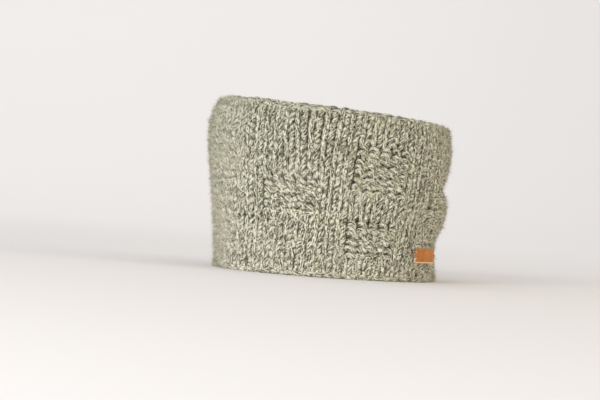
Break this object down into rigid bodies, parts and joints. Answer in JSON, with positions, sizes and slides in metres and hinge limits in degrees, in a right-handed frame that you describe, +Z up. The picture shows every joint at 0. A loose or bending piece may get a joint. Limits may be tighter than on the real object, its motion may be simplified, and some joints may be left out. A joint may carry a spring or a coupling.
{
  "type": "knitted ear warmer headband",
  "caption": "Wide hand-knitted wool headband with a basket pattern and a small leather label near its lower edge; covers the forehead and the ears.",
  "frame": {"origin": "under the middle of the band's plan, on the flat lower edge that it stands on", "axes": "+Z up through the head's opening, -Y towards the wearer's forehead, which is the pictured front, +X towards the side with the label"},
  "size_m": [0.1914, 0.196, 0.1327],
  "materials": {
    "wool": "matte",
    "leather": "satin",
    "thread": "matte"
  },
  "bodies": {
    "root": {"knit_band": "wool", "leather_label": "leather", "label_stitch_front": "thread", "label_stitch_rear": "thread"}
  },
  "joints": []
}
